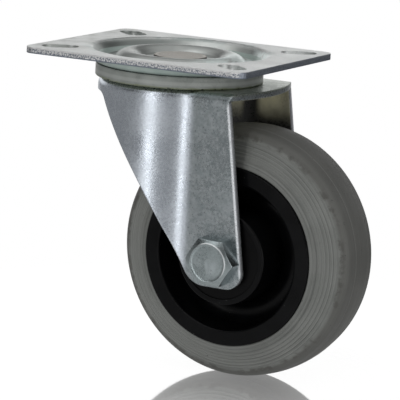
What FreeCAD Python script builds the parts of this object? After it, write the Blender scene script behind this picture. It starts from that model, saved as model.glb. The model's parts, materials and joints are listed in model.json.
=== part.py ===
import FreeCAD, Part
import math
import os

# Swivel castor with a rectangular top plate. Millimetres, +Z up.
# The origin is the centre of the plate's top face, on the swivel axis.
# +X is the trailing direction of the wheel and Y is the axle direction.

# Top plate
plate_length = 98.0
plate_width = 84.0
plate_thickness = 2.5
plate_corner_radius = 5.0
hole_spacing_x = 77.0
hole_spacing_y = 60.0
slot_width = 9.0
slot_length = 15.0
dish_radius = 35.6
dish_wall_run = 3.3
dish_depth = 4.0
dish_shoulder_radius = 3.5
dish_root_radius = 2.0
well_depth = 3.5

# Swivel head
race_clearance = 0.08
race_slope = math.radians(30)
upper_race_radius = 21.4
upper_ball_diameter = 6.35
upper_ball_count = 20
crest_depth = 0.8
crest_slope = math.radians(45)
lower_race_radius = 14.5
lower_ball_diameter = 5.0
lower_ball_count = 17
cup_thickness = 2.0
cup_flat_radius = 10.8
cup_lip_radius = 18.3
cup_bend_radius = 2.5

# Kingpin
pin_diameter = 12.0
pin_shoulder_diameter = 18.0
pin_head_diameter = 21.4
pin_head_height = 1.3
pin_foot_diameter = 19.0
pin_foot_height = 2.4
pin_chamfer = 0.4
pin_clearance = 0.1

# Fork
fork_thickness = 2.5
fork_head_radius = 32.5
fork_width = 56.0
fork_top_depth = 11.4
fork_bend_radius = 3.5
fork_inner_bend_radius = 0.5
fork_flare_radius = 18.0
fork_hole_radius = 10.5
crown_shoulder_radius = 25.6
crown_shoulder_round = 2.8
crown_wall_run = 2.0
crown_root_round = 1.0
crown_rear_reach = 43.0
crown_rear_corner = 36.8
apron_depth = 5.6
leg_start_x = -21.5
leg_bow = 1.5
leg_bow_radius = 300.0
leg_start_round = 5.0
leg_foot_drop = 11.2
leg_foot_front = 10.6
leg_foot_rear = 12.1
leg_front_round = 10.0
leg_rear_round = 6.5

# Dust seal
seal_radius = 33.9
seal_wall = 1.9
seal_clearance = 0.7
seal_foot = 1.4
seal_gap = 0.3
seal_top_rise = 0.6
seal_round = 0.6

# Wheel position
total_height = 128.0
trail = 35.0

# Tyre
wheel_diameter = 102.0
tread_width = 23.0
tread_crown = 1.3
tread_arc_share = 0.7
tyre_shoulder_round = 5.0
tyre_side_width = 39.1
tyre_edge_round = 0.7
rim_diameter = 72.0
tyre_fit = 0.05
lip_groove_radius = 0.6
lip_groove_at = 38.4
groove_radius = 0.35
groove_count = 5
groove_first = 40.3
groove_pitch = 1.35
key_width = 12.0
key_height = 3.0
key_draft = 1.0

# Rim and hub
rim_width = 39.5
rim_lip_radius = 29.9
rim_wall_draft = 1.0
rim_edge_round = 0.8
web_thickness = 8.0
channel_round = 4.4
hub_side_gap = 1.5
hub_diameter = 37.6
hub_draft = 1.2
cap_diameter = 33.0
cap_thickness = 2.4
cap_recess = 0.4
cap_clearance = 0.1

# Roller bearing
sleeve_diameter = 15.0
roller_diameter = 4.0
roller_count = 9
roller_clearance = 0.05
cage_end_gap = 0.45
cage_end_wall = 3.0
cage_thickness = 2.4
cage_clearance = 0.15

# Axle bolt and lock nut
bolt_diameter = 12.0
bolt_clearance = 0.1
bolt_across_flats = 18.0
bolt_head_height = 7.5
bolt_head_turn = -2.0
bolt_face_share = 0.88
bolt_projection = 1.5
bolt_end_chamfer = 1.2
nut_height = 8.0
nut_collar_height = 4.0
nut_collar_diameter = 16.6
insert_diameter = 14.6
insert_height = 3.0
thread_clearance = 0.05

# Places that follow from the sizes above
axle_z = wheel_diameter / 2 - total_height
axle_place = FreeCAD.Vector(trail, 0, axle_z)
fork_half = fork_width / 2
fork_inner_half = fork_half - fork_thickness
upper_ball_radius = upper_ball_diameter / 2
upper_groove_radius = upper_ball_radius + race_clearance
crest_radius = upper_groove_radius + plate_thickness
upper_ball_z = -(crest_depth + crest_radius)
lower_ball_radius = lower_ball_diameter / 2
lower_groove_radius = lower_ball_radius + race_clearance
bead_radius = lower_groove_radius + fork_thickness
race_bulge = 1 / math.cos(race_slope) - 1
groove_corner_z = upper_ball_z - upper_groove_radius * (1 + race_bulge)
bead_corner_z = groove_corner_z + (upper_race_radius - lower_race_radius) * math.tan(race_slope)
lower_ball_z = bead_corner_z - bead_radius * (1 + race_bulge)
cup_corner_z = lower_ball_z - lower_groove_radius * (1 + race_bulge)
cup_flat_z = cup_corner_z + (lower_race_radius - cup_flat_radius) * math.tan(race_slope)
cup_lip_z = cup_corner_z + (cup_lip_radius - lower_race_radius) * math.tan(race_slope)
plate_well_underside = -(well_depth + plate_thickness)
crown_flat_radius = fork_head_radius - fork_bend_radius
hub_bore_radius = sleeve_diameter / 2 + roller_diameter + 2 * roller_clearance
roller_pitch_radius = sleeve_diameter / 2 + roller_clearance + roller_diameter / 2
hub_half = fork_inner_half - hub_side_gap
cap_seat = hub_half - cap_recess - cap_thickness
cage_length = 2 * (cap_seat - cage_end_gap)
roller_length = cage_length - 2 * cage_end_wall
seal_inner_radius = crown_shoulder_radius + crown_wall_run + seal_clearance

UP = FreeCAD.Vector(0, 0, 1)
ALONG_AXLE = FreeCAD.Vector(0, 1, 0)
ORIGIN = FreeCAD.Vector(0, 0, 0)


# Drawing helpers. A section is drawn as (radius, height) in the XZ plane.
def point(pair):
    return FreeCAD.Vector(pair[0], 0, pair[1])


def unit(start, end):
    length = math.hypot(end[0] - start[0], end[1] - start[1])
    return ((end[0] - start[0]) / length, (end[1] - start[1]) / length)


def rounded_edges(corners, radii):
    # Straight runs joined by tangent arcs, with one radius for each inner corner.
    edges = []
    last = corners[0]
    for index, radius in enumerate(radii, start=1):
        corner = corners[index]
        before = unit(corner, corners[index - 1])
        after = unit(corner, corners[index + 1])
        cosine = before[0] * after[0] + before[1] * after[1]
        half = math.acos(max(-1.0, min(1.0, cosine))) / 2
        if radius == 0:
            edges.append(Part.LineSegment(point(last), point(corner)).toShape())
            last = corner
            continue
        reach = radius / math.tan(half)
        middle = unit((0, 0), (before[0] + after[0], before[1] + after[1]))
        depth = radius / math.sin(half) - radius
        start = (corner[0] + before[0] * reach, corner[1] + before[1] * reach)
        mid = (corner[0] + middle[0] * depth, corner[1] + middle[1] * depth)
        end = (corner[0] + after[0] * reach, corner[1] + after[1] * reach)
        edges.append(Part.LineSegment(point(last), point(start)).toShape())
        edges.append(Part.Arc(point(start), point(mid), point(end)).toShape())
        last = end
    edges.append(Part.LineSegment(point(last), point(corners[-1])).toShape())
    return edges


def offset_corners(corners, distance):
    # The same corners moved to the right-hand side of the path by a distance.
    moved = []
    for index, corner in enumerate(corners):
        sides = []
        if index > 0:
            sides.append(unit(corners[index - 1], corner))
        if index < len(corners) - 1:
            sides.append(unit(corner, corners[index + 1]))
        normals = [(side[1], -side[0]) for side in sides]
        total = (sum(n[0] for n in normals), sum(n[1] for n in normals))
        direction = unit((0, 0), total)
        stretch = distance / (direction[0] * normals[0][0] + direction[1] * normals[0][1])
        moved.append((corner[0] + direction[0] * stretch, corner[1] + direction[1] * stretch))
    return moved


def turn(corners, index):
    before = unit(corners[index - 1], corners[index])
    after = unit(corners[index], corners[index + 1])
    return before[0] * after[1] - before[1] * after[0]


def sheet_section(corners, radii, thickness):
    # A bent sheet of even thickness whose upper face follows the path.
    lower_radii = []
    for index, radius in enumerate(radii, start=1):
        grow = thickness if turn(corners, index) > 0 else -thickness
        lower_radii.append(radius + grow)
    lower = offset_corners(corners, thickness)
    edges = rounded_edges(corners, radii)
    edges.append(Part.LineSegment(point(corners[-1]), point(lower[-1])).toShape())
    edges += rounded_edges(lower, lower_radii)
    edges.append(Part.LineSegment(point(lower[0]), point(corners[0])).toShape())
    return Part.Face(Part.Wire(Part.__sortEdges__(edges)))


def closed_section(corners, radii):
    # A closed outline with one radius for each corner, where 0 leaves it sharp.
    start = ((corners[0][0] + corners[-1][0]) / 2, (corners[0][1] + corners[-1][1]) / 2)
    loop = [start] + list(corners) + [start]
    return Part.Face(Part.Wire(Part.__sortEdges__(rounded_edges(loop, radii))))


def revolved(face):
    return face.revolve(ORIGIN, UP, 360)


def both_sides(half):
    # The upper half of a section, from inner radius to outer, and its mirror below.
    return list(half) + [(radius, -height) for radius, height in reversed(half)]


def on_axle(shape):
    # Turns a shape drawn about Z so that its axis lies along the axle.
    placed = shape.copy()
    placed.rotate(ORIGIN, FreeCAD.Vector(1, 0, 0), -90)
    placed.translate(axle_place)
    return placed


def ring(inner_radius, outer_radius, low, high):
    outer = Part.makeCylinder(outer_radius, high - low, FreeCAD.Vector(0, 0, low))
    inner = Part.makeCylinder(inner_radius, high - low, FreeCAD.Vector(0, 0, low))
    return outer.cut(inner)


def polar(radius, angle, height=0.0):
    return FreeCAD.Vector(radius * math.cos(angle), radius * math.sin(angle), height)


def solid_of(shape):
    return shape.removeSplitter().Solids[0]


# Top plate
def slot_cutter(x, y):
    run = slot_length - slot_width
    depth = 3 * plate_thickness
    bar = Part.makeBox(run, slot_width, depth, FreeCAD.Vector(-run / 2, -slot_width / 2, -depth / 2))
    for side in (-1, 1):
        end = FreeCAD.Vector(side * run / 2, 0, -depth / 2)
        bar = bar.fuse(Part.makeCylinder(slot_width / 2, depth, end))
    bar.rotate(ORIGIN, UP, math.degrees(math.atan2(y, x)))
    bar.translate(FreeCAD.Vector(x, y, 0))
    return bar


def top_plate():
    corner = FreeCAD.Vector(-plate_length / 2, -plate_width / 2, -plate_thickness)
    plate = Part.makeBox(plate_length, plate_width, plate_thickness, corner)
    upright = [edge for edge in plate.Edges if abs(edge.tangentAt(edge.FirstParameter).z) > 0.9]
    plate = plate.makeFillet(plate_corner_radius, upright)
    join_radius = dish_radius + dish_shoulder_radius
    plate = plate.cut(Part.makeCylinder(join_radius, 2 * plate_thickness,
                                        FreeCAD.Vector(0, 0, -1.5 * plate_thickness)))
    crest_corner_z = crest_radius * (1 / math.cos(crest_slope) - 1) - crest_depth
    crest_run = math.tan(crest_slope)
    corners = [
        (pin_diameter / 2 + pin_clearance, -well_depth),
        (upper_race_radius - (crest_corner_z + well_depth) / crest_run, -well_depth),
        (upper_race_radius, crest_corner_z),
        (upper_race_radius + (crest_corner_z + dish_depth) / crest_run, -dish_depth),
        (dish_radius - dish_wall_run, -dish_depth),
        (dish_radius, 0),
        (join_radius, 0),
    ]
    radii = [dish_root_radius, crest_radius, dish_root_radius, dish_root_radius, dish_shoulder_radius]
    plate = plate.fuse(revolved(sheet_section(corners, radii, plate_thickness)))
    for side_x in (-1, 1):
        for side_y in (-1, 1):
            plate = plate.cut(slot_cutter(side_x * hole_spacing_x / 2, side_y * hole_spacing_y / 2))
    return solid_of(plate)


# Kingpin, riveted over in the plate's well and below the bearing cup
def kingpin():
    shoulder_bottom = cup_flat_z
    foot_top = cup_flat_z - cup_thickness
    head = [
        (0, -well_depth + pin_head_height),
        (pin_head_diameter / 2, -well_depth + pin_head_height),
        (pin_head_diameter / 2, -well_depth),
        (pin_diameter / 2, -well_depth),
        (pin_diameter / 2, plate_well_underside),
        (pin_shoulder_diameter / 2, plate_well_underside),
        (pin_shoulder_diameter / 2, shoulder_bottom),
        (pin_diameter / 2, shoulder_bottom),
        (pin_diameter / 2, foot_top),
        (pin_foot_diameter / 2, foot_top),
        (pin_foot_diameter / 2, foot_top - pin_foot_height),
        (0, foot_top - pin_foot_height),
    ]
    radii = [0, pin_chamfer, 0, 0, 0, 0, 0, 0, 0, 0, 3 * pin_chamfer, 0]
    return revolved(closed_section(head, radii))


# Pressed cup that carries the lower balls
def lower_bearing_cup():
    corners = [
        (pin_diameter / 2 + pin_clearance, cup_flat_z),
        (cup_flat_radius, cup_flat_z),
        (lower_race_radius, cup_corner_z),
        (cup_lip_radius, cup_lip_z),
    ]
    return revolved(sheet_section(corners, [cup_bend_radius, lower_groove_radius], cup_thickness))


# Bearing balls
def ball(radius, ring_radius, height, index, count):
    centre = polar(ring_radius, 2 * math.pi * index / count, height)
    return Part.makeSphere(radius, centre)


# Fork, pressed from one sheet: a round head, parallel legs and a curved front
def head_outline(radius, half_width, flare, rear):
    # Plan view: a circle about the swivel axis that flares into two straight sides.
    blend_radius = radius + flare
    blend_y = half_width + flare
    blend_x = math.sqrt(blend_radius ** 2 - blend_y ** 2)
    share = radius / blend_radius
    touch = (blend_x * share, blend_y * share)
    toward = unit((blend_x, blend_y), ((touch[0] + blend_x) / 2, (touch[1] + half_width) / 2))
    middle = (blend_x + toward[0] * flare, blend_y + toward[1] * flare)

    def at(x, y):
        return FreeCAD.Vector(x, y, 0)

    edges = [Part.Arc(at(touch[0], -touch[1]), at(-radius, 0), at(*touch)).toShape()]
    for side in (-1, 1):
        start = at(touch[0], side * touch[1])
        bend = at(middle[0], side * middle[1])
        end = at(blend_x, side * half_width)
        edges.append(Part.Arc(start, bend, end).toShape())
        edges.append(Part.LineSegment(end, at(rear, side * half_width)).toShape())
    edges.append(Part.LineSegment(at(rear, -half_width), at(rear, half_width)).toShape())
    return Part.Face(Part.Wire(Part.__sortEdges__(edges)))


def head_block(radius, half_width, flare, top, bend_radius):
    rear = crown_rear_reach + leg_foot_rear + fork_head_radius
    depth = top - axle_z + 2 * leg_foot_drop
    block = head_outline(radius, half_width, flare, rear).extrude(FreeCAD.Vector(0, 0, -depth))
    block.translate(FreeCAD.Vector(0, 0, top))
    rim = []
    for edge in block.Edges:
        box = edge.BoundBox
        if box.ZMin > top - 0.01 and box.XMin < rear - 0.01:
            rim.append(edge)
    return block.makeFillet(bend_radius, rim)


def side_profile():
    # Side view of the legs: the front edge runs down to a rounded foot at the axle.
    head_top = -fork_top_depth
    apron_z = head_top - apron_depth
    underside = head_top - fork_thickness
    foot_z = axle_z - leg_foot_drop
    start = (leg_start_x, apron_z)
    foot = (trail - leg_foot_front, foot_z)
    along = unit(start, foot)
    bow = ((start[0] + foot[0]) / 2 - along[1] * leg_bow, (start[1] + foot[1]) / 2 + along[0] * leg_bow)
    front = -2 * fork_head_radius
    rear = crown_rear_reach + fork_head_radius
    corners = [
        (front, apron_z),
        start,
        bow,
        foot,
        (trail + leg_foot_rear, foot_z),
        (crown_rear_corner, underside),
        (rear, underside),
        (rear, head_top + fork_thickness),
        (front, head_top + fork_thickness),
    ]
    radii = [0, leg_start_round, leg_bow_radius, leg_front_round, leg_rear_round, 0, 0, 0, 0]
    profile = closed_section(corners, radii)
    profile.translate(FreeCAD.Vector(0, -2 * fork_half, 0))
    return profile.extrude(FreeCAD.Vector(0, 4 * fork_half, 0))


def crown_rear_limit():
    # The crown's rear edge is an arc between the rear corners of the two legs.
    bulge = crown_rear_reach - crown_rear_corner
    radius = (fork_half ** 2 + bulge ** 2) / (2 * bulge)
    depth = 2 * (fork_top_depth - axle_z)
    drum = Part.makeCylinder(radius, depth, FreeCAD.Vector(crown_rear_reach - radius, 0, -depth))
    below = -fork_top_depth - fork_thickness
    legs = Part.makeBox(4 * fork_head_radius, 4 * fork_half, depth,
                        FreeCAD.Vector(0, -2 * fork_half, below - depth))
    return drum.fuse(legs)


def crown_race():
    # Ball tracks pressed into the crown: one above for the large balls, one below.
    shoulder_z = groove_corner_z + (crown_shoulder_radius - upper_race_radius) * math.tan(race_slope)
    corners = [
        (fork_hole_radius, bead_corner_z - (lower_race_radius - fork_hole_radius) * math.tan(race_slope)),
        (lower_race_radius, bead_corner_z),
        (upper_race_radius, groove_corner_z),
        (crown_shoulder_radius, shoulder_z),
        (crown_shoulder_radius + crown_wall_run, -fork_top_depth),
        (crown_flat_radius, -fork_top_depth),
    ]
    radii = [bead_radius, upper_groove_radius, crown_shoulder_round, crown_root_round]
    return revolved(sheet_section(corners, radii, fork_thickness))


def fork():
    top = -fork_top_depth
    outer = head_block(fork_head_radius, fork_half, fork_flare_radius, top, fork_bend_radius)
    inner = head_block(fork_head_radius - fork_thickness, fork_inner_half,
                       fork_flare_radius + fork_thickness, top - fork_thickness, fork_inner_bend_radius)
    shape = outer.cut(inner).common(side_profile()).common(crown_rear_limit())
    shape = shape.cut(Part.makeCylinder(crown_flat_radius, 3 * fork_thickness,
                                        FreeCAD.Vector(0, 0, top - 2 * fork_thickness)))
    shape = shape.fuse(crown_race())
    hole = Part.makeCylinder(bolt_diameter / 2 + bolt_clearance, 2 * fork_width,
                             FreeCAD.Vector(trail, -fork_width, axle_z), ALONG_AXLE)
    return solid_of(shape.cut(hole))


# Plastic dust ring that sits on the fork and closes the ball race
def dust_seal():
    # Its top slopes up towards the outside, along the underside of the plate's dish.
    top = -(dish_depth + plate_thickness + seal_gap)
    seat = -fork_top_depth
    wall_inner = seal_radius - seal_wall
    corners = [
        (seal_inner_radius, seat),
        (seal_radius, seat),
        (seal_radius, top + seal_top_rise),
        (wall_inner, top),
        (wall_inner, seat + seal_foot),
        (seal_inner_radius, seat + seal_foot),
    ]
    radii = [0, seal_round, seal_round, 0, seal_round, 0]
    return revolved(closed_section(corners, radii))


# Axle bolt, sleeve and lock nut
def hexagon(across_flats, height):
    corners = [polar(across_flats / math.sqrt(3), math.radians(60 * step)) for step in range(7)]
    return Part.Face(Part.makePolygon(corners)).extrude(FreeCAD.Vector(0, 0, height))


def chamfered_hexagon(across_flats, height):
    # The flat at z = height is chamfered at 30 degrees, the one at z = 0 is the seat.
    corner = across_flats / math.sqrt(3)
    face = bolt_face_share * across_flats / 2
    drop = (corner - face) * math.tan(math.radians(30))
    outline = [(0, 0), (corner, 0), (corner, height - drop), (face, height), (0, height)]
    cone = revolved(closed_section(outline, [0] * 5))
    return hexagon(across_flats, height).common(cone)


def axle_bolt():
    # Drawn with the seat of the head at z = 0 and the shank downwards.
    shank = fork_width + nut_height + nut_collar_height + bolt_projection
    outline = [(0, 0), (bolt_diameter / 2, 0), (bolt_diameter / 2, bolt_end_chamfer - shank),
               (bolt_diameter / 2 - bolt_end_chamfer, -shank), (0, -shank)]
    bolt = revolved(closed_section(outline, [0] * 5))
    head = chamfered_hexagon(bolt_across_flats, bolt_head_height)
    head.rotate(ORIGIN, UP, bolt_head_turn)
    bolt = bolt.fuse(head)
    bolt.rotate(ORIGIN, FreeCAD.Vector(1, 0, 0), 90)
    bolt.translate(FreeCAD.Vector(trail, -fork_half, axle_z))
    return solid_of(bolt)


def axle_nut():
    # Drawn with its seat at z = 0. The collar holds the nylon ring.
    bore = bolt_diameter / 2 + thread_clearance
    nut = chamfered_hexagon(bolt_across_flats, nut_height)
    nut = nut.fuse(Part.makeCylinder(nut_collar_diameter / 2, nut_height + nut_collar_height))
    rim = [edge for edge in nut.Edges if edge.BoundBox.ZMin > nut_height + nut_collar_height / 2]
    nut = nut.makeFillet(nut_collar_height / 4, [edge for edge in rim if edge.Length > nut_collar_diameter])
    nut = nut.cut(Part.makeCylinder(bore, 3 * nut_height, FreeCAD.Vector(0, 0, -nut_height)))
    pocket = Part.makeCylinder(insert_diameter / 2, insert_height, FreeCAD.Vector(0, 0, nut_height))
    nut = nut.cut(pocket)
    nut = on_axle(solid_of(nut))
    nut.translate(FreeCAD.Vector(0, fork_half, 0))
    return nut


def nut_insert():
    bore = bolt_diameter / 2 + thread_clearance
    insert = ring(bore, insert_diameter / 2, nut_height, nut_height + insert_height)
    insert = on_axle(insert)
    insert.translate(FreeCAD.Vector(0, fork_half, 0))
    return insert


def axle_sleeve():
    bore = bolt_diameter / 2 + bolt_clearance
    return on_axle(ring(bore, sleeve_diameter / 2, -fork_inner_half, fork_inner_half))


# Wheel
def key_section(clearance):
    # The rib on the rim that locks the tyre, as half corners (radius, height).
    seat = rim_diameter / 2 + clearance
    top = seat + key_height
    return [(seat, key_width / 2 + clearance), (top, key_width / 2 - key_draft + clearance)]


def wheel_rim():
    barrel = rim_diameter / 2
    half = rim_width / 2
    boss = hub_diameter / 2
    web = web_thickness / 2
    corners = [
        (hub_bore_radius, cap_seat),
        (cap_diameter / 2, cap_seat),
        (cap_diameter / 2, hub_half),
        (boss, hub_half),
        (boss + hub_draft, web),
        (rim_lip_radius - rim_wall_draft, web),
        (rim_lip_radius, half),
        (barrel, half),
    ] + key_section(0)
    radii = [0, 0, 0, rim_edge_round, channel_round, channel_round, rim_edge_round, rim_edge_round / 2, 0, 0]
    section = closed_section(both_sides(corners), radii + radii[::-1])
    return on_axle(revolved(section))


def tyre():
    radius = wheel_diameter / 2
    tread_half = tread_width / 2
    side_half = tyre_side_width / 2
    edge_radius = radius - tread_crown
    bore = rim_diameter / 2 + tyre_fit
    shoulder = (edge_radius, tread_half)
    half = list(reversed(key_section(tyre_fit))) + [(bore, side_half), shoulder]
    # The tread's middle is an arc that touches the wheel's diameter and runs out to both shoulders.
    arc_radius = tread_arc_share * (tread_half ** 2 + tread_crown ** 2) / (2 * tread_crown)
    reach = math.hypot(tread_half, arc_radius - tread_crown)
    lean = math.atan2(tread_half, arc_radius - tread_crown) - math.acos(arc_radius / reach)
    crown = (radius + arc_radius * (1 / math.cos(lean) - 1), 0)
    corners = half + [crown] + [(r, -z) for r, z in reversed(half)]
    side_radii = [0, 0, tyre_edge_round, tyre_shoulder_round]
    shape = revolved(closed_section(corners, side_radii + [arc_radius] + side_radii[::-1]))
    slope = unit((bore, side_half), shoulder)
    grooves = [(groove_first + step * groove_pitch, groove_radius) for step in range(groove_count)]
    for groove_at, size in [(lip_groove_at, lip_groove_radius)] + grooves:
        height = side_half + (groove_at - bore) * slope[1] / slope[0]
        for side in (-1, 1):
            centre = FreeCAD.Vector(0, 0, side * height)
            shape = shape.cut(Part.makeTorus(groove_at, size, centre, UP))
    return on_axle(shape.Solids[0])


def hub_cap(side):
    bore = sleeve_diameter / 2 + cage_clearance * 2
    low = cap_seat
    high = cap_seat + cap_thickness
    cap = ring(bore, cap_diameter / 2 - cap_clearance, low, high)
    if side < 0:
        cap.rotate(ORIGIN, FreeCAD.Vector(1, 0, 0), 180)
    return on_axle(cap)


def roller(index, radius, length):
    centre = polar(roller_pitch_radius, 2 * math.pi * index / roller_count, -length / 2)
    return Part.makeCylinder(radius, length, centre)


def roller_cage():
    middle = roller_pitch_radius
    cage = ring(middle - cage_thickness / 2, middle + cage_thickness / 2, -cage_length / 2, cage_length / 2)
    for index in range(roller_count):
        pocket = roller(index, roller_diameter / 2 + cage_clearance, roller_length + 2 * cage_clearance)
        cage = cage.cut(pocket)
    return on_axle(cage)


def build():
    parts = {
        "top_plate": top_plate(),
        "kingpin": kingpin(),
        "lower_bearing_cup": lower_bearing_cup(),
        "fork": fork(),
        "dust_seal": dust_seal(),
        "axle_bolt": axle_bolt(),
        "axle_nut": axle_nut(),
        "nut_insert": nut_insert(),
        "axle_sleeve": axle_sleeve(),
        "wheel_rim": wheel_rim(),
        "tyre": tyre(),
        "hub_cap_front": hub_cap(-1),
        "hub_cap_rear": hub_cap(1),
        "roller_cage": roller_cage(),
    }
    for index in range(roller_count):
        parts["roller_%d" % (index + 1)] = on_axle(roller(index, roller_diameter / 2, roller_length))
    for index in range(upper_ball_count):
        parts["upper_ball_%02d" % (index + 1)] = ball(
            upper_ball_radius, upper_race_radius, upper_ball_z, index, upper_ball_count)
    for index in range(lower_ball_count):
        parts["lower_ball_%02d" % (index + 1)] = ball(
            lower_ball_radius, lower_race_radius, lower_ball_z, index, lower_ball_count)
    return parts


os.makedirs("parts", exist_ok=True)
for name, shape in build().items():
    shape.exportStep(os.path.join("parts", name + ".step"))
    print(name, len(shape.Solids), shape.isValid(), round(shape.Volume, 1))
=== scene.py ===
import json
import math

import bmesh
import bpy
from mathutils import Matrix, Vector


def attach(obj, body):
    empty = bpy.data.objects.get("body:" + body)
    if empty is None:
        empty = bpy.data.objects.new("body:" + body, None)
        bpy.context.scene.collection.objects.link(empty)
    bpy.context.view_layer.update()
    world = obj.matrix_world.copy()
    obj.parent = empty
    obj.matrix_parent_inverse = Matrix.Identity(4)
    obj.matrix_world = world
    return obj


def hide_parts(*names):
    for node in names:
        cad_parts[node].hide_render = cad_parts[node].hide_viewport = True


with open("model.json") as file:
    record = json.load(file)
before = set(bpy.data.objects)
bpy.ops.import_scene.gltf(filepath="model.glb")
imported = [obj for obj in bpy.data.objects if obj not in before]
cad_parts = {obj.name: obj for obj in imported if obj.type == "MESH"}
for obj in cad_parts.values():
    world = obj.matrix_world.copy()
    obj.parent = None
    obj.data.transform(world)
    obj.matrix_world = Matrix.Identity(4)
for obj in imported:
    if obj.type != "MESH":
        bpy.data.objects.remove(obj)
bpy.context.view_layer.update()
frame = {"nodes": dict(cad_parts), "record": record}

# Real sizes of the object in millimetres, as in the construction
MM = 0.001
plate_thickness = 2.5
slot_x = 38.5
slot_y = 30.0
dish_radius = 35.6
pin_head_radius = 10.7
fork_half = 28.0
fork_inner_half = 25.5
fork_inner_radius = 30.0
fork_head_radius = 32.5
fork_flare_radius = 18.0
leg_rear_x = 45.5
leg_rear_slope = 0.139
seal_foot_z = -11.4
trail = 35.0
axle_z = -77.0
floor_z = -128.0
wheel_radius = 51.0
tread_half = 11.5
tread_crown = 1.3
tread_arc_share = 0.7
shoulder_round = 5.0
tyre_side_half = 19.55
tyre_edge_round = 0.7
tyre_bore = 36.05
key_top = 39.05
key_foot_half = 6.05
key_top_half = 5.05
lip_groove = 38.4
first_ring = 40.3
ring_pitch = 1.35
ring_count = 5
lip_groove_depth = 0.6
lip_bead_height = 0.14
ring_depth = 0.33
ring_half = 0.35
ring_bead_height = 0.07
mould_line = 5.9
mould_line_height = 0.12
inner_mould_line = 2.7
inner_mould_line_height = 0.07
smear_radius = 47.6
bolt_radius = 6.0
bolt_across_flats = 18.0
bolt_head_height = 7.5
bolt_head_turn = -2.0
bolt_face_radius = 7.92
bolt_shank = 69.5
bolt_end_chamfer = 1.2
bolt_crown_angle = 30.0

# Fineness of the meshes made here
profile_pitch = 0.16
arc_steps = 24
turn_steps = 180

# Camera, solved from the plate's corners and the wheel's ellipses
photo_width = 400
focal_pixels = 2662.2
sensor_width = 36.0
camera_azimuth = math.radians(27.042)
camera_elevation = math.radians(10.788)
camera_roll = math.radians(3.083)
camera_distance = 1.082587
camera_target = Vector((0.009849, 0.004968, -0.061153))


def heading(azimuth, elevation):
    # Unit vector towards a compass direction: azimuth 0 is -Y and 90 degrees is +X.
    flat = math.cos(elevation)
    return Vector((math.sin(azimuth) * flat, -math.cos(azimuth) * flat, math.sin(elevation)))


def add_camera():
    back = heading(camera_azimuth, camera_elevation)
    right = Vector((0, 0, 1)).cross(back).normalized()
    up = back.cross(right)
    rolled_right = right * math.cos(camera_roll) + up * math.sin(camera_roll)
    rolled_up = up * math.cos(camera_roll) - right * math.sin(camera_roll)
    turn = Matrix((rolled_right, rolled_up, back)).transposed()
    data = bpy.data.cameras.new("camera")
    data.sensor_width = sensor_width
    data.lens = focal_pixels / photo_width * sensor_width
    data.clip_start = 0.05
    data.clip_end = 20
    camera = bpy.data.objects.new("camera", data)
    camera.matrix_world = Matrix.Translation(camera_target + back * camera_distance) @ turn.to_4x4()
    bpy.context.scene.collection.objects.link(camera)
    bpy.context.scene.camera = camera


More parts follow.
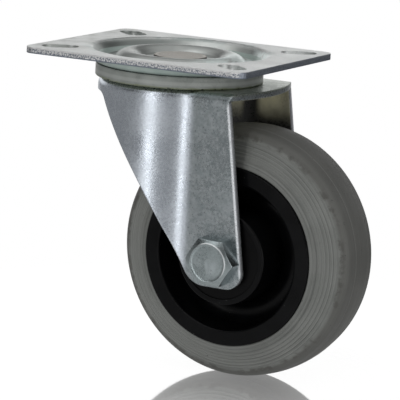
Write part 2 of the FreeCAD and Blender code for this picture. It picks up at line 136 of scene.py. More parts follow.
# Node helpers
class Shader:
    """Builds one material's nodes with short calls."""

    def __init__(self, name):
        self.material = bpy.data.materials.new(name)
        self.material.use_nodes = True
        self.tree = self.material.node_tree
        self.tree.nodes.clear()
        self.output = self.add("ShaderNodeOutputMaterial")

    def add(self, kind, inputs=None, **settings):
        node = self.tree.nodes.new(kind)
        for key, value in settings.items():
            setattr(node, key, value)
        for key, value in (inputs or {}).items():
            self.feed(node.inputs[key], value)
        return node

    def feed(self, socket, value):
        if isinstance(value, bpy.types.NodeSocket):
            self.tree.links.new(value, socket)
        else:
            socket.default_value = value

    def math(self, operation, *values, clamp=False):
        node = self.add("ShaderNodeMath", operation=operation, use_clamp=clamp)
        for socket, value in zip(node.inputs, values):
            self.feed(socket, value)
        return node.outputs[0]

    def vector(self, operation, *values):
        node = self.add("ShaderNodeVectorMath", operation=operation)
        for socket, value in zip(node.inputs, values):
            self.feed(socket, value)
        return node.outputs["Value"] if operation in ("DOT_PRODUCT", "LENGTH") else node.outputs["Vector"]

    def place(self):
        # Position on the object in millimetres, which rides with the piece.
        node = self.add("ShaderNodeTexCoord")
        scale = self.add("ShaderNodeVectorMath", operation="SCALE")
        self.feed(scale.inputs[0], node.outputs["Object"])
        scale.inputs["Scale"].default_value = 1 / MM
        return scale.outputs["Vector"]

    def facing(self):
        # The surface's own direction on the object, which rides with the piece.
        return self.split(self.add("ShaderNodeTexCoord").outputs["Normal"])

    def split(self, vector):
        node = self.add("ShaderNodeSeparateXYZ", {0: vector})
        return node.outputs[0], node.outputs[1], node.outputs[2]

    def join(self, x, y, z):
        return self.add("ShaderNodeCombineXYZ", {0: x, 1: y, 2: z}).outputs[0]

    def stretch(self, vector, x, y, z):
        node = self.add("ShaderNodeMapping", {"Vector": vector, "Scale": (x, y, z)})
        return node.outputs[0]

    def noise(self, vector, size, detail=2.0, roughness=0.5, w=None):
        # Cloudy noise whose features are about the given size in millimetres.
        dimensions = "3D" if w is None else "4D"
        inputs = {"Vector": vector, "Scale": 1 / size}
        node = self.add("ShaderNodeTexNoise", inputs, noise_dimensions=dimensions)
        node.inputs["Detail"].default_value = detail
        node.inputs["Roughness"].default_value = roughness
        if w is not None:
            self.feed(node.inputs["W"], w)
        return node.outputs[0]

    def cells(self, vector, size):
        # One random grey for each cell of about the given size in millimetres.
        node = self.add("ShaderNodeTexVoronoi", {"Vector": vector, "Scale": 1 / size})
        return self.split(node.outputs["Color"])[0]

    def ramp(self, value, low, high, to_low=0.0, to_high=1.0, smooth=True):
        kind = "SMOOTHSTEP" if smooth else "LINEAR"
        node = self.add("ShaderNodeMapRange", interpolation_type=kind)
        for key, item in zip(("Value", "From Min", "From Max", "To Min", "To Max"),
                             (value, low, high, to_low, to_high)):
            self.feed(node.inputs[key], item)
        return node.outputs[0]

    def mix(self, share, first, second):
        node = self.add("ShaderNodeMix", data_type="RGBA")
        self.feed(node.inputs[0], share)
        for index, value in ((6, first), (7, second)):
            self.feed(node.inputs[index], (*value, 1.0) if isinstance(value, tuple) else value)
        return node.outputs[2]

    def rounded(self, radius):
        # Normals as if every edge had a small radius, in millimetres.
        return self.add("ShaderNodeBevel", {"Radius": radius * MM}, samples=6).outputs[0]

    def bump(self, height, depth, strength=1.0, normal=None):
        node = self.add("ShaderNodeBump", {"Height": height, "Distance": depth * MM, "Strength": strength})
        if normal is not None:
            self.feed(node.inputs["Normal"], normal)
        return node.outputs[0]

    def surface(self, base, roughness, metallic=0.0, normal=None, **uniform):
        bsdf = self.add("ShaderNodeBsdfPrincipled", {"Metallic": metallic})
        self.feed(bsdf.inputs["Base Color"], (*base, 1.0) if isinstance(base, tuple) else base)
        self.feed(bsdf.inputs["Roughness"], roughness)
        if normal is not None:
            self.feed(bsdf.inputs["Normal"], normal)
        for key, value in uniform.items():
            bsdf.inputs[key.replace("_", " ").title().replace("Ior", "IOR")].default_value = value
        self.feed(self.output.inputs["Surface"], bsdf.outputs[0])
        return self.material


# Materials
def zinc_layers(shader, place, light, dark, roughness, grain):
    # Zinc plating: a fine mottle, soft clouds and a pitted skin that breaks up reflections.
    clouds = shader.noise(place, 14.0, 3.0)
    mottle = shader.noise(place, 0.9 * grain, 3.0, 0.65)
    flecks = shader.cells(place, 0.55 * grain)
    tone = shader.math("ADD", shader.math("MULTIPLY", mottle, 0.5), shader.math("MULTIPLY", flecks, 0.15))
    tone = shader.math("ADD", tone, shader.math("MULTIPLY", clouds, 0.5))
    base = shader.mix(shader.ramp(tone, 0.38, 0.78), dark, light)
    rough = shader.ramp(shader.math("ADD", clouds, mottle), 0.7, 1.3, roughness - 0.05, roughness + 0.07)
    pits = shader.math("ADD", shader.noise(place, 0.75 * grain, 4.0, 0.6),
                       shader.math("MULTIPLY", clouds, 0.4))
    return base, rough, pits


def painted_edge_highlight(shader, place, x, z):
    # Painted highlight: a narrow, uneven bright line along each leg's rear edge, broken up by noise.
    rear = shader.math("SUBTRACT", leg_rear_x + leg_rear_slope * axle_z, x)
    rear = shader.math("SUBTRACT", rear, shader.math("MULTIPLY", z, leg_rear_slope))
    on_leg = shader.math("MULTIPLY", shader.ramp(z, -14.0, -17.0), shader.ramp(z, -85.0, -81.0))
    edge_highlight = shader.math("MULTIPLY", shader.ramp(rear, 1.2, 0.6), on_leg)
    patches = shader.ramp(shader.noise(place, 1.4, 3.0), 0.3, 0.5, 0.6, 1.0)
    return shader.math("MULTIPLY", edge_highlight, patches)


def between_legs(shader, x, y):
    # The faces that look at the wheel, on the legs, on the round head and on the flare that joins them.
    between = shader.ramp(shader.math("ABSOLUTE", y), fork_inner_half + 0.4, fork_inner_half + 0.1)
    behind = shader.ramp(x, 14.0, 15.0)
    radius = shader.vector("LENGTH", shader.join(x, y, 0.0))
    inside = shader.math("MAXIMUM", shader.math("MULTIPLY", between, behind),
                         shader.ramp(radius, fork_inner_radius + 0.4, fork_inner_radius + 0.1))
    flare_y = fork_half + fork_flare_radius
    flare_x = math.sqrt((fork_head_radius + fork_flare_radius) ** 2 - flare_y ** 2)
    from_flare = shader.join(shader.math("SUBTRACT", x, flare_x),
                             shader.math("SUBTRACT", shader.math("ABSOLUTE", y), flare_y), 0.0)
    wall = fork_half - fork_inner_half
    flared = shader.ramp(shader.vector("LENGTH", from_flare), fork_flare_radius + wall - 0.4,
                         fork_flare_radius + wall - 0.1)
    near_flare = shader.ramp(shader.math("ABSOLUTE", shader.math("SUBTRACT", x, flare_x - 4)), 6.0, 5.0)
    return shader.math("MAXIMUM", inside, shader.math("MULTIPLY", flared, near_flare))


def painted_inner_light(shader, place, x, z):
    # Painted light and shade: a yellowish painted reflection under the crown, black painted shade lower down,
    # and a dark painted band across it.
    wander = shader.math("MULTIPLY", shader.math("SUBTRACT", shader.noise(place, 5.0, 3.0), 0.5), 5.0)
    lit = shader.ramp(shader.math("ADD", z, wander), -30.0, -19.0)
    band = shader.ramp(shader.math("ABSOLUTE", shader.math("SUBTRACT", x, 20.0)), 2.0, 5.5)
    fade = shader.ramp(x, 37.0, 30.0, 0.45, 1.0)
    lit = shader.math("MULTIPLY", shader.math("MULTIPLY", lit, band), fade)
    return shader.mix(lit, (0.03, 0.03, 0.028), (1.0, 0.96, 0.70))


def fork_zinc():
    shader = Shader("fork_zinc")
    place = shader.place()
    base, rough, pits = zinc_layers(shader, place, (0.84, 0.90, 0.97), (0.62, 0.67, 0.74), 0.28, 1.0)
    x, y, z = shader.split(place)
    # The flat legs are painted darker than the drawn head, as painted shade, with blotches.
    flat = shader.ramp(x, 19.5, 23.0)
    blotches = shader.ramp(shader.noise(place, 1.8, 5.0, 0.75), 0.36, 0.66)
    base = shader.mix(flat, base, shader.mix(blotches, (0.35, 0.395, 0.41), (0.50, 0.54, 0.56)))
    # A painted highlight along each leg's rear edge.
    edge_highlight = painted_edge_highlight(shader, place, x, z)
    base = shader.mix(edge_highlight, base, (0.94, 0.97, 1.0))
    # The top of the crown at the rear, up to the dust ring, is darker and greenish, with a ragged border.
    ragged_z = shader.math("ADD", z, shader.math("MULTIPLY", shader.noise(place, 1.5, 3.0), 1.2))
    crown = shader.math("MULTIPLY", shader.ramp(ragged_z, seal_foot_z - 0.7, seal_foot_z + 0.3),
                        shader.ramp(x, 14.0, 21.0))
    base = shader.mix(crown, base, shader.mix(shader.noise(place, 1.6, 3.0), (0.22, 0.25, 0.21),
                                              (0.50, 0.54, 0.50)))
    # The faces between the legs get that painted light and shade, and are made dull.
    inner_faces = shader.math("MULTIPLY", between_legs(shader, x, y),
                         shader.ramp(z, seal_foot_z - 2.2, seal_foot_z - 2.6))
    base = shader.mix(inner_faces, base, painted_inner_light(shader, place, x, z))
    metallic = shader.ramp(inner_faces, 0.0, 1.0, 1.0, 0.1)
    # The legs' sheared rear edges are rough. Across each cut face the colour runs from a painted highlight on
    # the outer side to painted shade towards the wheel.
    cut = shader.math("MULTIPLY", shader.ramp(shader.facing()[0], 0.6, 0.85), shader.ramp(x, 19.0, 20.0))
    cut = shader.math("MULTIPLY", cut, shader.ramp(z, seal_foot_z - 3.0, seal_foot_z - 4.0))
    inward = shader.ramp(shader.math("ABSOLUTE", y), fork_half - 0.3, fork_inner_half + 0.6)
    base = shader.mix(cut, base, shader.mix(inward, (0.62, 0.64, 0.67), (0.20, 0.21, 0.22)))
    metallic = shader.math("MULTIPLY", metallic, shader.ramp(cut, 0.0, 1.0, 1.0, 0.35))
    metallic = shader.math("MULTIPLY", metallic, shader.ramp(edge_highlight, 0.0, 1.0, 1.0, 0.3))
    # The drawn head is slightly uneven, most of all in front, and the flat legs are smoother.
    uneven = shader.math("MULTIPLY", shader.noise(place, 2.4, 3.0, 0.6), shader.ramp(x, -2.0, 6.0, 3.2, 1.0))
    depth = shader.math("ADD", uneven, shader.math("MULTIPLY", pits, shader.ramp(flat, 0.0, 1.0, 1.0, 0.4)))
    normal = shader.bump(depth, 0.03, 0.8, shader.rounded(0.7))
    return shader.surface(base, rough, metallic, normal)


def dish_tone(shader, place, x):
    # Dull zinc. Towards the wheel it has pale streaks, partly the zinc's own and partly a painted reflection,
    # and the front is darkened with painted shade.
    dull = shader.mix(shader.noise(place, 6.0, 3.0), (0.48, 0.51, 0.50), (0.66, 0.68, 0.655))
    streaks = shader.ramp(shader.noise(shader.stretch(place, 1.0, 0.3, 1.0), 3.0, 3.0), 0.3, 0.52)
    dull = shader.mix(shader.math("MULTIPLY", streaks, shader.ramp(x, 12.0, 22.0)), dull, (0.90, 0.99, 0.97))
    return shader.mix(shader.ramp(x, -8.0, -28.0, 0.0, 0.6), dull, (0.16, 0.19, 0.18))


def sheared_edge(shader, x, y, radius):
    # The plate's upright outer faces, without the walls of the slots and the dish.
    upright = shader.ramp(shader.math("ABSOLUTE", shader.facing()[2]), 0.6, 0.3)
    from_slot = shader.join(shader.math("SUBTRACT", shader.math("ABSOLUTE", x), slot_x),
                            shader.math("SUBTRACT", shader.math("ABSOLUTE", y), slot_y), 0.0)
    outer = shader.math("MULTIPLY", shader.ramp(radius, 39.0, 40.0),
                        shader.ramp(shader.vector("LENGTH", from_slot), 8.8, 9.3))
    return shader.math("MULTIPLY", upright, outer)


def plate_zinc():
    shader = Shader("plate_zinc")
    place = shader.place()
    base, rough, pits = zinc_layers(shader, place, (0.86, 0.88, 0.87), (0.72, 0.745, 0.735), 0.33, 1.0)
    x, y, z = shader.split(place)
    # Greenish chromate stain in the dish and around it.
    radius = shader.vector("LENGTH", shader.join(x, y, 0.0))
    from_wall = shader.math("ABSOLUTE", shader.math("SUBTRACT", radius, dish_radius - 2))
    stain = shader.math("MULTIPLY", shader.ramp(from_wall, 8.0, 1.0),
                        shader.ramp(shader.noise(place, 9.0, 3.0), 0.45, 0.62))
    base = shader.mix(shader.math("MULTIPLY", stain, 0.8), base, (0.50, 0.58, 0.56))
    # A haze on the front of the plate, the dish, and painted shade round the pin.
    haze = shader.math("MULTIPLY", shader.ramp(shader.noise(place, 11.0, 4.0), 0.42, 0.62),
                       shader.ramp(x, -22.0, -36.0))
    base = shader.mix(shader.math("MULTIPLY", haze, 0.6), base, (0.48, 0.50, 0.47))
    in_dish = shader.math("MULTIPLY", shader.ramp(radius, dish_radius + 1.0, dish_radius - 1.5),
                          shader.ramp(z, -0.3, -0.8))
    base = shader.mix(in_dish, base, dish_tone(shader, place, x))
    pin_shade = shader.math("MULTIPLY", shader.ramp(radius, pin_head_radius + 0.7, pin_head_radius + 0.2),
                        shader.ramp(z, -2.6, -3.0))
    base = shader.mix(pin_shade, base, (0.05, 0.045, 0.04))
    # The underside is greenish and dull.
    under = shader.math("MULTIPLY", shader.ramp(z, -plate_thickness - 0.1, -plate_thickness - 0.5),
                        shader.ramp(radius, 29.5, 30.5))
    base = shader.mix(under, base, shader.mix(shader.noise(place, 5.0, 3.0), (0.37, 0.48, 0.44),
                                              (0.59, 0.67, 0.64)))
    cloudy = shader.math("MULTIPLY", in_dish, shader.ramp(x, 16.0, 26.0))
    dulled = shader.math("MAXIMUM", under, shader.math("MULTIPLY", cloudy, 0.7))
    metallic = shader.ramp(dulled, 0.0, 1.0, 1.0, 0.3)
    # The sheared outer edge is rough. Its white speckles are painted glints, the white line along its top is
    # a painted highlight, and faces turned to the wheel get painted shade instead.
    edge = sheared_edge(shader, x, y, radius)
    torn = shader.noise(place, 0.75, 3.0, 0.75)
    painted_glints = shader.math("MULTIPLY", shader.ramp(torn, 0.44, 0.53), shader.ramp(z, -2.3, -1.8))
    white = shader.math("MAXIMUM", painted_glints, shader.ramp(z, -0.75, -0.5))
    white = shader.math("MULTIPLY", white, shader.ramp(shader.facing()[0], 0.5, 0.8, 1.0, 0.15))
    base = shader.mix(edge, base, shader.mix(white, (0.28, 0.32, 0.39), (1.0, 1.0, 1.0)))
    depth = shader.math("ADD", pits, shader.math("MULTIPLY", shader.math("MULTIPLY", torn, edge), 12.0))
    normal = shader.bump(depth, 0.03, 0.8, shader.rounded(0.4))
    return shader.surface(base, rough, metallic, normal)


def plain_zinc(name, light, dark, roughness):
    shader = Shader(name)
    base, rough, pits = zinc_layers(shader, shader.place(), light, dark, roughness, 0.7)
    normal = shader.bump(pits, 0.02, 0.7, shader.rounded(0.25))
    return shader.surface(base, rough, 1.0, normal)


def bolt_zinc():
    # Plated steel with pale scuffs on the face, and a painted highlight on one side of the ring round it.
    shader = Shader("bolt_zinc")
    place = shader.place()
    base, rough, pits = zinc_layers(shader, place, (0.46, 0.52, 0.53), (0.33, 0.38, 0.39), 0.3, 0.7)
    radius, offset, around = wheel_polar(shader)
    ax, _, az = shader.split(around)
    face = shader.math("MULTIPLY", shader.ramp(offset, -fork_half - bolt_head_height + 0.2,
                                               -fork_half - bolt_head_height + 0.1),
                       shader.ramp(radius, 6.6, 4.0))
    patches = shader.ramp(shader.noise(shader.stretch(place, 1.0, 1.0, 0.6), 4.5, 2.0), 0.46, 0.7)
    base = shader.mix(shader.math("MULTIPLY", face, patches), base, (0.56, 0.62, 0.64))
    # The ring's painted highlight, on one side only.
    from_ring = shader.math("ABSOLUTE", shader.math("SUBTRACT", radius, bolt_face_radius - 0.2))
    ring = shader.ramp(from_ring, 0.3, 0.1)
    wear_and_sheen = shader.math("MULTIPLY", ring, shader.ramp(shader.math("ADD", ax, az), -0.1, 0.8, 0.0, 0.75))
    wear_and_sheen = shader.math("MULTIPLY", wear_and_sheen, shader.ramp(offset, -fork_half - bolt_head_height + 0.3,
                                                     -fork_half - bolt_head_height + 0.1))
    base = shader.mix(wear_and_sheen, base, (0.9, 0.92, 0.93))
    metallic = shader.ramp(wear_and_sheen, 0.0, 1.0, 1.0, 0.3)
    normal = shader.bump(pits, 0.02, 0.7, shader.rounded(0.25))
    return shader.surface(base, rough, metallic, normal)


def rivet_steel():
    # The pin's head is peened, slightly brown, with faint rings.
    shader = Shader("rivet_steel")
    place = shader.place()
    x, y, _ = shader.split(place)
    radius = shader.vector("LENGTH", shader.join(x, y, 0.0))
    rings = shader.noise(shader.join(radius, 0.0, 0.0), 0.8, 3.0, 0.6)
    blot = shader.noise(place, 3.0, 3.0)
    tone = shader.ramp(shader.math("ADD", rings, blot), 0.75, 1.25)
    base = shader.mix(tone, (0.40, 0.37, 0.33), (0.56, 0.54, 0.49))
    ring = shader.math("ABSOLUTE", shader.math("SUBTRACT", radius, pin_head_radius - 1.0))
    base = shader.mix(shader.ramp(ring, 0.5, 0.15, 0.0, 0.6), base, (0.72, 0.70, 0.64))
    # The head's sides are painted near black as painted shade.
    base = shader.mix(shader.ramp(shader.facing()[2], 0.85, 0.5), base, (0.035, 0.03, 0.025))
    normal = shader.bump(shader.math("ADD", rings, blot), 0.04, 0.6, shader.rounded(0.3))
    return shader.surface(base, shader.ramp(blot, 0.3, 0.7, 0.34, 0.48), 1.0, normal)


def ground_steel(name, base, roughness):
    shader = Shader(name)
    place = shader.place()
    marks = shader.noise(place, 0.6, 3.0, 0.6)
    tone = shader.mix(marks, tuple(0.92 * c for c in base), base)
    rough = shader.ramp(marks, 0.3, 0.7, roughness - 0.04, roughness + 0.05)
    return shader.surface(tone, rough, 1.0, shader.bump(marks, 0.004, 0.5))


def moulded(name, base, dark, roughness, grain, depth, gloss=0.5):
    # Moulded plastic: a fine skin with faint clouds.
    shader = Shader(name)
    place = shader.place()
    clouds = shader.noise(place, 7.0, 3.0)
    skin = shader.noise(place, grain, 3.0, 0.6)
    tone = shader.mix(shader.ramp(shader.math("ADD", clouds, shader.math("MULTIPLY", skin, 0.5)), 0.5, 1.0),
                      dark, base)
    rough = shader.ramp(clouds, 0.3, 0.7, roughness - 0.05, roughness + 0.06)
    normal = shader.bump(skin, depth, 0.6, shader.rounded(0.25))
    return shader.surface(tone, rough, 0.0, normal, specular_ior_level=gloss)


def seal_plastic():
    # Grey plastic with a lighter middle and a greenish greasy lower edge.
    shader = Shader("seal_plastic")
    place = shader.place()
    z = shader.split(place)[2]
    clouds = shader.noise(place, 5.0, 3.0)
    base = shader.mix(shader.ramp(clouds, 0.35, 0.65), (0.25, 0.268, 0.252), (0.31, 0.33, 0.312))
    middle = shader.ramp(shader.math("ABSOLUTE", shader.math("SUBTRACT", z, seal_foot_z + 2.2)), 1.0, 0.4)
    base = shader.mix(shader.math("MULTIPLY", middle, 0.5), base, (0.45, 0.47, 0.45))
    wander = shader.math("MULTIPLY", shader.math("SUBTRACT", shader.noise(place, 4.0, 2.0), 0.5), 1.6)
    low = shader.ramp(shader.math("ADD", z, wander), seal_foot_z + 1.0, seal_foot_z + 0.3)
    base = shader.mix(low, base, (0.20, 0.225, 0.15))
    # Black dots along the foot are painted shade in gaps under the ring.
    gaps = shader.ramp(shader.noise(shader.stretch(place, 1.0, 1.0, 0.2), 1.7, 1.0), 0.62, 0.68)
    foot = shader.ramp(z, seal_foot_z + 0.7, seal_foot_z + 0.4)
    base = shader.mix(shader.math("MULTIPLY", gaps, foot), base, (0.01, 0.01, 0.01))
    normal = shader.bump(shader.noise(place, 0.5, 3.0), 0.01, 0.5, shader.rounded(0.25))
    return shader.surface(base, shader.ramp(clouds, 0.3, 0.7, 0.26, 0.36), 0.0, normal)


def wheel_polar(shader):
    # Radius from the axle, offset along it, and a seamless place around it.
    x, y, z = shader.split(shader.place())
    across = shader.join(shader.math("SUBTRACT", x, trail), 0.0, shader.math("SUBTRACT", z, axle_z))
    radius = shader.vector("LENGTH", across)
    around = shader.add("ShaderNodeVectorMath", {0: across}, operation="NORMALIZE").outputs[0]
    return radius, y, around


def tyre_rubber():
    # Grey rubber with fine streaks around the tyre.
    shader = Shader("tyre_rubber")
    place = shader.place()
    radius, offset, around = wheel_polar(shader)
    ax, _, az = shader.split(around)
    fine = shader.noise(shader.join(shader.math("MULTIPLY", radius, 2.6), ax, az), 1.0, 3.0, 0.6,
                        shader.math("MULTIPLY", offset, 2.2))
    broad = shader.noise(shader.join(shader.math("MULTIPLY", radius, 0.45), ax, az), 1.0, 2.0, 0.5,
                         shader.math("MULTIPLY", offset, 0.4))
    clouds = shader.noise(place, 12.0, 3.0)
    tone = shader.math("ADD", shader.math("MULTIPLY", fine, 0.35), shader.math("MULTIPLY", broad, 0.4))
    tone = shader.math("ADD", tone, shader.math("MULTIPLY", clouds, 0.35))
    base = shader.mix(shader.ramp(tone, 0.38, 0.72), (0.150, 0.156, 0.147), (0.225, 0.232, 0.220))
    # Fine pale rings on the sidewall, painted highlights on its ridges, and a tread that has picked up some
    # dirt.
    rings = shader.noise(shader.join(shader.math("MULTIPLY", radius, 2.4), 0.0, 0.0), 1.0, 3.0, 0.7)
    side = shader.math("MULTIPLY", shader.ramp(radius, lip_groove, lip_groove + 1.5),
                       shader.ramp(radius, 47.8, 46.4))
    pale = shader.math("MULTIPLY", side, shader.ramp(rings, 0.42, 0.62))
    base = shader.mix(shader.math("MULTIPLY", pale, 0.55), base, (0.29, 0.30, 0.285))
    from_smear = shader.math("ABSOLUTE", shader.math("SUBTRACT", radius, smear_radius))
    smear = shader.math("MULTIPLY", shader.ramp(from_smear, 1.6, 0.4),
                        shader.ramp(shader.noise(place, 4.0, 4.0, 0.65), 0.45, 0.62))
    base = shader.mix(shader.math("MULTIPLY", smear, 0.7), base, (0.06, 0.058, 0.05))
    wear_and_sheen = shader.ramp(radius, wheel_radius - 4.2, wheel_radius - 3.0)
    base = shader.mix(shader.math("MULTIPLY", wear_and_sheen, 0.6), base, (0.095, 0.093, 0.085))
    # A lighter streak on each mould line of the tread is a painted highlight on its ridge.
    line = shader.math("ABSOLUTE", shader.math("SUBTRACT", shader.math("ABSOLUTE", offset), mould_line))
    streak = shader.math("MULTIPLY", shader.ramp(line, 0.3, 0.1),
                         shader.ramp(radius, wheel_radius - 2, wheel_radius - 1))
    base = shader.mix(shader.math("MULTIPLY", streak, 0.5), base, (0.26, 0.26, 0.25))
    specks = shader.ramp(shader.noise(place, 1.1, 1.0), 0.76, 0.8)
    base = shader.mix(shader.math("MULTIPLY", specks, 0.6), base, (0.03, 0.03, 0.03))
    height = shader.math("ADD", fine, shader.math("MULTIPLY", shader.noise(place, 0.4, 2.0), 0.25))
    normal = shader.bump(height, 0.04, 0.7)
    return shader.surface(base, shader.ramp(broad, 0.3, 0.7, 0.5, 0.62), 0.0, normal)


def rim_plastic():
    # Black plastic, turned in fine rings by the mould.
    shader = Shader("rim_plastic")
    place = shader.place()
    radius, offset, around = wheel_polar(shader)
    ax, _, az = shader.split(around)
    rings = shader.noise(shader.join(shader.math("MULTIPLY", radius, 1.6), ax, az), 1.0, 3.0, 0.6, offset)
    clouds = shader.noise(place, 8.0, 3.0)
    base = shader.mix(shader.ramp(clouds, 0.35, 0.65), (0.0018, 0.0019, 0.0022), (0.0032, 0.0034, 0.0038))
    dust = shader.ramp(shader.noise(place, 0.7, 1.0), 0.79, 0.82)
    base = shader.mix(dust, base, (0.12, 0.12, 0.12))
    rough = shader.ramp(clouds, 0.3, 0.7, 0.27, 0.36)
    normal = shader.bump(rings, 0.02, 0.5, shader.rounded(0.3))
    return shader.surface(base, rough, 0.0, normal, specular_ior_level=0.14)


# Pieces made here in place of plainer solids
def around_axle(radius, angle, offset):
    return ((trail + radius * math.cos(angle)) * MM, offset * MM, (axle_z + radius * math.sin(angle)) * MM)


def finish_mesh(name, build, sharp):
    mesh = bpy.data.meshes.new(name)
    bmesh.ops.recalc_face_normals(build, faces=build.faces)
    build.to_mesh(mesh)
    build.free()
    for face in mesh.polygons:
        face.use_smooth = True
    mesh.set_sharp_from_angle(angle=math.radians(sharp))
    piece = bpy.data.objects.new(name, mesh)
    bpy.context.scene.collection.objects.link(piece)
    return piece


def band(build, here, there):
    # Faces between two closed rows of points.
    count = len(here)
    for index in range(count):
        after = (index + 1) % count
        build.faces.new((here[index], here[after], there[after], there[index]))


def rounded_path(corners, radii, steps):
    # Straight runs joined by tangent arcs.
    path = [Vector(corners[0])]
    for before, corner, after, radius in zip(corners, corners[1:], corners[2:], radii):
        corner = Vector(corner)
        back = (Vector(before) - corner).normalized()
        ahead = (Vector(after) - corner).normalized()
        half = back.angle(ahead) / 2
        if radius == 0:
            path.append(corner)
            continue
        centre = corner + (back + ahead).normalized() * (radius / math.sin(half))
        start = corner + back * (radius / math.tan(half)) - centre
        end = corner + ahead * (radius / math.tan(half)) - centre
        for step in range(steps + 1):
            path.append(centre + start.lerp(end, step / steps).normalized() * radius)
    path.append(Vector(corners[-1]))
    return path


def divided(path, pitch, plain_radius):
    # The same line with points no further apart than the pitch, except in the plain bore.
    points = []
    for start, end in zip(path, path[1:]):
        in_bore = max(start.x, end.x) <= plain_radius
        count = 1 if in_bore else max(1, math.ceil((end - start).length / pitch))
        points += [start.lerp(end, step / count) for step in range(count)]
    return points + [path[-1]]


def hollow(value, at, half_width):
    # A round hollow: 1 in its middle and 0 at its edges.
    return math.sqrt(max(0.0, 1 - ((value - at) / half_width) ** 2))


def tyre_relief(radius, offset):
    # Height of the moulded detail over the plain section.
    height = -lip_groove_depth * hollow(radius, lip_groove, lip_groove_depth)
    height += lip_bead_height * hollow(radius, lip_groove + 1.1, 0.3)
    for ring in range(ring_count):
        height -= ring_depth * hollow(radius, first_ring + ring * ring_pitch, ring_half)
        height += ring_bead_height * hollow(radius, first_ring + (ring + 0.5) * ring_pitch, 0.2)
    if radius > wheel_radius - 2:
        height += (mould_line_height * hollow(abs(offset), mould_line, 0.25)
                   + inner_mould_line_height * hollow(abs(offset), inner_mould_line, 0.2))
    return height


def tyre():
    shoulder = (wheel_radius - tread_crown, tread_half)
    arc_radius = tread_arc_share * (tread_half ** 2 + tread_crown ** 2) / (2 * tread_crown)
    reach = math.hypot(tread_half, arc_radius - tread_crown)
    lean = math.atan2(tread_half, arc_radius - tread_crown) - math.acos(arc_radius / reach)
    crown = (wheel_radius + arc_radius * (1 / math.cos(lean) - 1), 0)
    half = [
        (key_top, 0),
        (key_top, key_top_half),
        (tyre_bore, key_foot_half),
        (tyre_bore, tyre_side_half),
        shoulder,
    ]
    corners = half + [crown] + [(radius, -offset) for radius, offset in reversed(half)]
    radii = [0, 0, tyre_edge_round, shoulder_round, arc_radius, shoulder_round, tyre_edge_round, 0, 0]
    path = divided(rounded_path(corners, radii, arc_steps), profile_pitch, key_top)
    profile = []
    for before, point, after in zip(path, path[1:], path[2:]):
        along = (after - before).normalized()
        height = tyre_relief(*point) if point.x > tyre_bore + 1 and abs(point.y) > 0 else 0
        profile.append((point.x + along.y * height, point.y - along.x * height))
    build = bmesh.new()
    rows = []
    for step in range(turn_steps):
        angle = 2 * math.pi * step / turn_steps
        rows.append([build.verts.new(around_axle(radius, angle, offset)) for radius, offset in profile])
    for step in range(turn_steps):
        band(build, rows[step], rows[(step + 1) % turn_steps])
    return finish_mesh("tyre_moulding", build, 50)


def axle_bolt():
    # Hexagon head with a chamfer and a raised ring round its face, on a plain shank.
    corner = bolt_across_flats / math.sqrt(3)
    drop = (corner - bolt_face_radius) * math.tan(math.radians(bolt_crown_angle))
    neck = bolt_radius - bolt_end_chamfer
    levels = [
        (-bolt_shank, neck),
        (bolt_end_chamfer - bolt_shank, bolt_radius),
        (0.0, bolt_radius),
        (0.0, corner),
    ]
    for step in range(13):
        share = step / 12
        levels.append((bolt_head_height - drop * (1 - share), corner + (bolt_face_radius - corner) * share))
    rim = bolt_face_radius
    for height, inset in ((0.16, 0.16), (0.26, 0.32), (0.28, 0.42), (0.10, 0.62), (-0.04, 1.1), (-0.04, 1.5)):
        levels.append((bolt_head_height + height, rim - inset))
    build = bmesh.new()
    rows = []
    sector = math.radians(60)
    for height, limit in levels:
        row = []
        for step in range(turn_steps):
            angle = 2 * math.pi * step / turn_steps
            side = bolt_across_flats / 2 / math.cos(angle % sector - sector / 2)
            turned = angle + math.radians(bolt_head_turn)
            row.append(build.verts.new(around_axle(min(limit, side), turned, -fork_half - height)))
        rows.append(row)
    for here, there in zip(rows, rows[1:]):
        band(build, here, there)
    build.faces.new(rows[0])
    build.faces.new(rows[-1])
    return finish_mesh("axle_bolt_detail", build, 25)


# Stage
def softbox(name, azimuth, elevation, distance, width, height, radiance, mirrored=True):
    data = bpy.data.lights.new(name, "AREA")
    data.shape = "RECTANGLE"
    data.size = width
    data.size_y = height
    data.energy = radiance * math.pi * width * height
    light = bpy.data.objects.new(name, data)
    aim = Vector(lamp_aim)
    back = heading(math.radians(azimuth), math.radians(elevation))
    light.location = aim + back * distance
    light.rotation_euler = back.to_track_quat("Z", "Y").to_euler()
    light.visible_camera = False
    light.visible_glossy = mirrored
    bpy.context.scene.collection.objects.link(light)


def towards(shader, direction, azimuth, elevation=0.0):
    # 1 straight towards the given place in the sky, and -1 away from it.
    aim = tuple(heading(math.radians(azimuth), math.radians(elevation)))
    return shader.vector("DOT_PRODUCT", direction, aim)


def mirrored_level(shader, direction, z):
    # What the metal mirrors: a grey table, a white backdrop behind, and a dim ceiling.
    table = shader.ramp(towards(shader, direction, -75), -0.6, 0.5, back_table_level, table_level)
    glow = shader.ramp(towards(shader, direction, 8, -5), 0.93, 0.975, 0.0, table_glow)
    table = shader.math("ADD", table, glow)
    patch = shader.ramp(towards(shader, direction, -150, -5), 0.85, 0.98, 0.0, 0.35)
    table = shader.math("ADD", table, patch)
    backdrop = shader.ramp(towards(shader, direction, -153), 0.5, 0.85, 0.2, 1.0)
    above = shader.ramp(z, -0.02, 0.06)
    over = shader.ramp(z, 0.265, 0.36)
    high = shader.ramp(z, 0.45, 0.8)
    level = shader.ramp(above, 0.0, 1.0, table, backdrop, smooth=False)
    level = shader.math("MULTIPLY", level, shader.ramp(over, 0.0, 1.0, 1.0, 0.1, smooth=False))
    level = shader.math("ADD", level, shader.math("MULTIPLY", high, 0.5))
    return shader.math("ADD", level, shader.ramp(towards(shader, direction, 70), 0.8, 0.97, 0.0, 1.1))


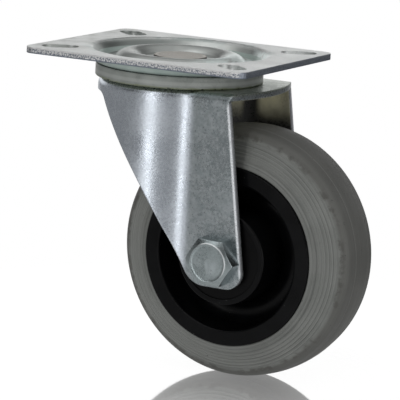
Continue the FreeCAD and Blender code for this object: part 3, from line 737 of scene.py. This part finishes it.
def add_world():
    # White to the camera, a studio to glossy rays, and a soft even light to all others.
    world = bpy.data.worlds.new("studio")
    bpy.context.scene.world = world
    world.use_nodes = True
    world.cycles.sampling_method = "NONE"
    shader = Shader.__new__(Shader)
    shader.tree = world.node_tree
    shader.tree.nodes.clear()
    output = shader.add("ShaderNodeOutputWorld")
    path = shader.add("ShaderNodeLightPath").outputs
    direction = shader.add("ShaderNodeTexCoord").outputs["Generated"]
    z = shader.split(direction)[2]
    level = mirrored_level(shader, direction, z)
    shiny = shader.math("ADD", path["Is Glossy Ray"], path["Is Transmission Ray"], clamp=True)
    ambient = shader.ramp(towards(shader, direction, 75, -5), -0.3, 0.9, 0.22, 0.55)
    ambient = shader.math("MULTIPLY", ambient, shader.ramp(z, -0.8, 0.1, 0.5, 1.0))
    soft = shader.math("ADD", shader.math("MULTIPLY", shiny, level),
                       shader.math("MULTIPLY", shader.math("SUBTRACT", 1.0, shiny), ambient))
    camera = path["Is Camera Ray"]
    strength = shader.math("ADD", camera, shader.math("MULTIPLY", shader.math("SUBTRACT", 1.0, camera), soft))
    back = shader.add("ShaderNodeBackground", {"Color": (1, 1, 1, 1), "Strength": strength})
    shader.feed(output.inputs["Surface"], back.outputs[0])


def add_floor():
    # A glossy white sheet under the wheel: it mirrors the tyre and keeps its shadow.
    mesh = bpy.data.meshes.new("floor")
    build = bmesh.new()
    bmesh.ops.create_circle(build, cap_ends=True, segments=96, radius=floor_radius)
    build.to_mesh(mesh)
    build.free()
    floor = bpy.data.objects.new("floor", mesh)
    floor.location = (trail * MM, 0, floor_z * MM - floor_gap)
    bpy.context.scene.collection.objects.link(floor)
    shader = Shader("floor_sheet")
    path = shader.add("ShaderNodeLightPath").outputs
    facing = shader.add("ShaderNodeLayerWeight", {"Blend": 0.5}).outputs["Facing"]
    gloss = shader.ramp(facing, 0.35, 0.8, 0.05, floor_gloss, smooth=False)
    spot = shader.vector("LENGTH", shader.vector("SUBTRACT", shader.place(), mirror_spot))
    gloss = shader.math("MULTIPLY", gloss, shader.ramp(spot, 110.0, 60.0))
    gloss = shader.math("MULTIPLY", gloss, shader.ramp(spot, 50.0, 5.0, 0.87, 1.0))
    paint = shader.add("ShaderNodeBsdfDiffuse", {"Color": (0.85, 0.85, 0.85, 1)}).outputs[0]
    white = shader.add("ShaderNodeEmission", {"Color": (1, 1, 1, 1), "Strength": sheet_glow}).outputs[0]
    grey = shader.add("ShaderNodeEmission", {"Color": (1, 1, 1, 1), "Strength": sheet_level}).outputs[0]
    mirror = shader.add("ShaderNodeBsdfGlossy", {"Color": (1, 1, 1, 1), "Roughness": 0.06}).outputs[0]
    body = shader.add("ShaderNodeMixShader", {0: 0.5, 1: paint, 2: white}).outputs[0]
    seen = shader.add("ShaderNodeMixShader", {0: gloss, 1: body, 2: mirror}).outputs[0]
    shiny = shader.math("ADD", path["Is Glossy Ray"], path["Is Transmission Ray"], clamp=True)
    other = shader.add("ShaderNodeMixShader", {0: shiny, 1: paint, 2: grey}).outputs[0]
    final = shader.add("ShaderNodeMixShader", {0: path["Is Camera Ray"], 1: other, 2: seen}).outputs[0]
    shader.feed(shader.output.inputs["Surface"], final)
    mesh.materials.append(shader.material)


# Light levels and the stage
lamp_aim = (0.015, 0.0, -0.05)
table_level = 0.25
back_table_level = 0.10
table_glow = 0.16
sheet_level = 0.5
sheet_glow = 1.76
mirror_spot = (12.0, -24.0, 0.0)
floor_radius = 0.2
floor_gap = 0.0002
floor_gloss = 0.93

finishes = {
    "plate_zinc": plate_zinc(),
    "fork_zinc": fork_zinc(),
    "cup_zinc": plain_zinc("cup_zinc", (0.62, 0.64, 0.65), (0.50, 0.52, 0.53), 0.36),
    "rivet_steel": rivet_steel(),
    "bolt_zinc": bolt_zinc(),
    "sleeve_steel": ground_steel("sleeve_steel", (0.60, 0.60, 0.60), 0.3),
    "ball_steel": ground_steel("ball_steel", (0.75, 0.75, 0.75), 0.12),
    "roller_steel": ground_steel("roller_steel", (0.70, 0.70, 0.70), 0.15),
    "seal_plastic": seal_plastic(),
    "insert_nylon": moulded("insert_nylon", (0.75, 0.75, 0.72), (0.66, 0.66, 0.62), 0.4, 0.5, 0.01),
    "rim_plastic": rim_plastic(),
    "cap_plastic": moulded("cap_plastic", (0.003, 0.003, 0.0032), (0.002, 0.002, 0.0022), 0.42, 0.35, 0.02,
                           0.12),
    "cage_plastic": moulded("cage_plastic", (0.10, 0.10, 0.10), (0.07, 0.07, 0.07), 0.45, 0.5, 0.01),
    "tyre_rubber": tyre_rubber(),
}

for entry in frame["record"]["subparts"]:
    node = frame["nodes"][entry["node"]]
    node.data.materials.clear()
    node.data.materials.append(finishes[entry["material_slot"]])

detailed = (
    (tyre, "tyre", "wheel", "tyre_rubber"),
    (axle_bolt, "axle_bolt", "fork", "bolt_zinc"),
)
for make, replaced, body, slot in detailed:
    piece = make()
    piece.data.materials.append(finishes[slot])
    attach(piece, body)
    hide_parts(replaced)

add_camera()
add_world()
add_floor()
softbox("key_strip", -10.5, 12, 1.15, 0.21, 1.3, 2.0)
softbox("key_fill", 0, 10, 1.2, 0.1, 0.3, 28.0, mirrored=False)
softbox("top_box", -40, 60, 1.2, 0.9, 0.9, 0.6)

bpy.context.scene.view_settings.view_transform = "Standard"
